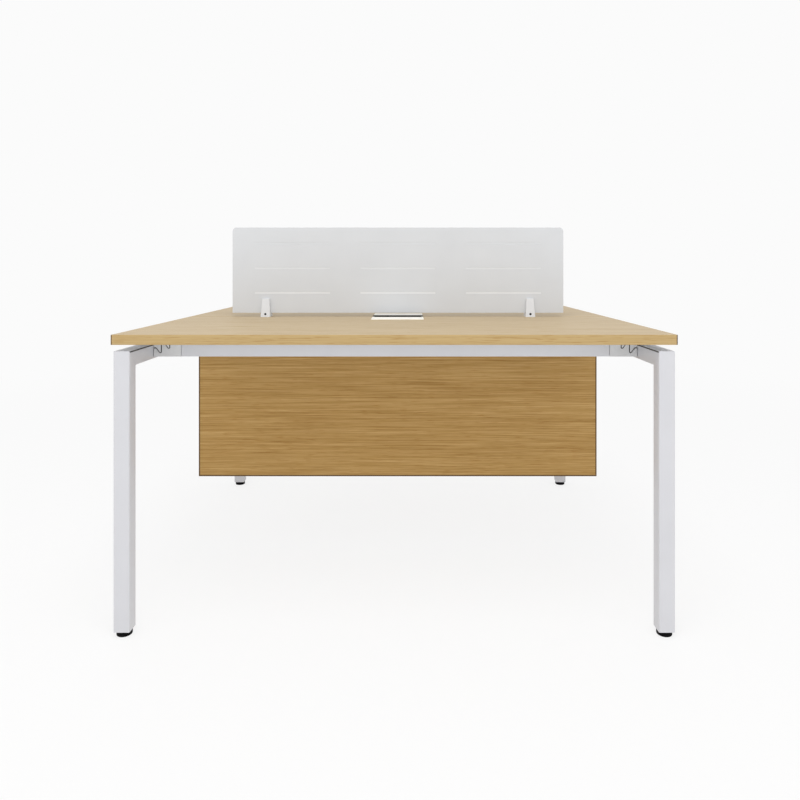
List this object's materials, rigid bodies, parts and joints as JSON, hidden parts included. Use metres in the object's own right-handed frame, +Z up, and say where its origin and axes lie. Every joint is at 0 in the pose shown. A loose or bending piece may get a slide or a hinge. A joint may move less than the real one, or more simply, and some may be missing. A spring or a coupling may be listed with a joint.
{
  "type": "benching desk for two",
  "caption": "Face-to-face benching desk: oak-look worktops on a grey steel frame with hook-in beams, a clamped screen, a modesty panel, flip-top cable outlets and levelling feet.",
  "frame": {"origin": "on the floor, under the middle of the desk", "axes": "+X to the right of the front user, along the seam; +Y from the front user towards the rear user; +Z up"},
  "size_m": [1.4, 1.2, 1.049],
  "materials": {
    "laminate": "satin oak-look laminate on particle board",
    "edging": "oak-look plastic edging",
    "grey_paint": "fine-textured pale grey powder coat",
    "cast_grey": "pale grey powder coat on a casting",
    "screen_board": "matt pale grey board",
    "white_paint": "satin white powder coat",
    "black_plastic": "moulded black plastic",
    "zinc_steel": "zinc plated",
    "black_steel": "black oxide"
  },
  "bodies": {
    "desk": {"front_worktop": "laminate", "front_worktop_edging": "edging", "front_beam": "grey_paint", "front_outlet_frame": "white_paint", "front_outlet_hinge_pin": "zinc_steel", "front_outlet_brush_bar": "black_plastic", "rear_worktop": "laminate", "rear_worktop_edging": "edging", "rear_beam": "grey_paint", "rear_outlet_frame": "white_paint", "rear_outlet_hinge_pin": "zinc_steel", "rear_outlet_brush_bar": "black_plastic", "left_front_leg": "grey_paint", "left_front_leg_insert": "black_plastic", "left_front_packer": "black_plastic", "left_front_saddle": "cast_grey", "left_front_beam_hook": "cast_grey", "right_front_leg": "grey_paint", "right_front_leg_insert": "black_plastic", "right_front_packer": "black_plastic", "right_front_saddle": "cast_grey", "right_front_beam_hook": "cast_grey", "left_rear_leg": "grey_paint", "left_rear_leg_insert": "black_plastic", "left_rear_packer": "black_plastic", "left_rear_saddle": "cast_grey", "left_rear_beam_hook": "cast_grey", "right_rear_leg": "grey_paint", "right_rear_leg_insert": "black_plastic", "right_rear_packer": "black_plastic", "right_rear_saddle": "cast_grey", "right_rear_beam_hook": "cast_grey", "left_top_rail": "grey_paint", "left_middle_packer": "black_plastic", "left_clamp_body": "cast_grey", "left_clamp_jaw": "cast_grey", "left_clamp_bolt": "black_steel", "left_clamp_anchor": "zinc_steel", "left_outer_panel_bracket": "zinc_steel", "left_inner_panel_bracket": "zinc_steel", "right_top_rail": "grey_paint", "right_middle_packer": "black_plastic", "right_clamp_body": "cast_grey", "right_clamp_jaw": "cast_grey", "right_clamp_bolt": "black_steel", "right_clamp_anchor": "zinc_steel", "right_outer_panel_bracket": "zinc_steel", "right_inner_panel_bracket": "zinc_steel", "modesty_panel": "laminate", "screen": "screen_board"},
    "front_lid": {"front_outlet_lid": "white_paint"},
    "rear_lid": {"rear_outlet_lid": "white_paint"},
    "left_front_foot": {"left_front_foot_stem": "zinc_steel", "left_front_foot_pad": "black_plastic"},
    "right_front_foot": {"right_front_foot_stem": "zinc_steel", "right_front_foot_pad": "black_plastic"},
    "left_rear_foot": {"left_rear_foot_stem": "zinc_steel", "left_rear_foot_pad": "black_plastic"},
    "right_rear_foot": {"right_rear_foot_stem": "zinc_steel", "right_rear_foot_pad": "black_plastic"}
  },
  "joints": [
    {"name": "front_lid_hinge", "type": "hinge", "parent": "desk", "child": "front_lid", "pos_m": [0, -0.042, 0.7445], "axis": [-1, 0, 0], "range_deg": [0, 100]},
    {"name": "rear_lid_hinge", "type": "hinge", "parent": "desk", "child": "rear_lid", "pos_m": [0, 0.042, 0.7445], "axis": [1, 0, 0], "range_deg": [0, 100]},
    {"name": "left_front_foot_screw", "type": "slide", "parent": "desk", "child": "left_front_foot", "axis": [0, 0, -1], "range_m": [0, 0.015]},
    {"name": "right_front_foot_screw", "type": "slide", "parent": "desk", "child": "right_front_foot", "axis": [0, 0, -1], "range_m": [0, 0.015]},
    {"name": "left_rear_foot_screw", "type": "slide", "parent": "desk", "child": "left_rear_foot", "axis": [0, 0, -1], "range_m": [0, 0.015]},
    {"name": "right_rear_foot_screw", "type": "slide", "parent": "desk", "child": "right_rear_foot", "axis": [0, 0, -1], "range_m": [0, 0.015]}
  ]
}
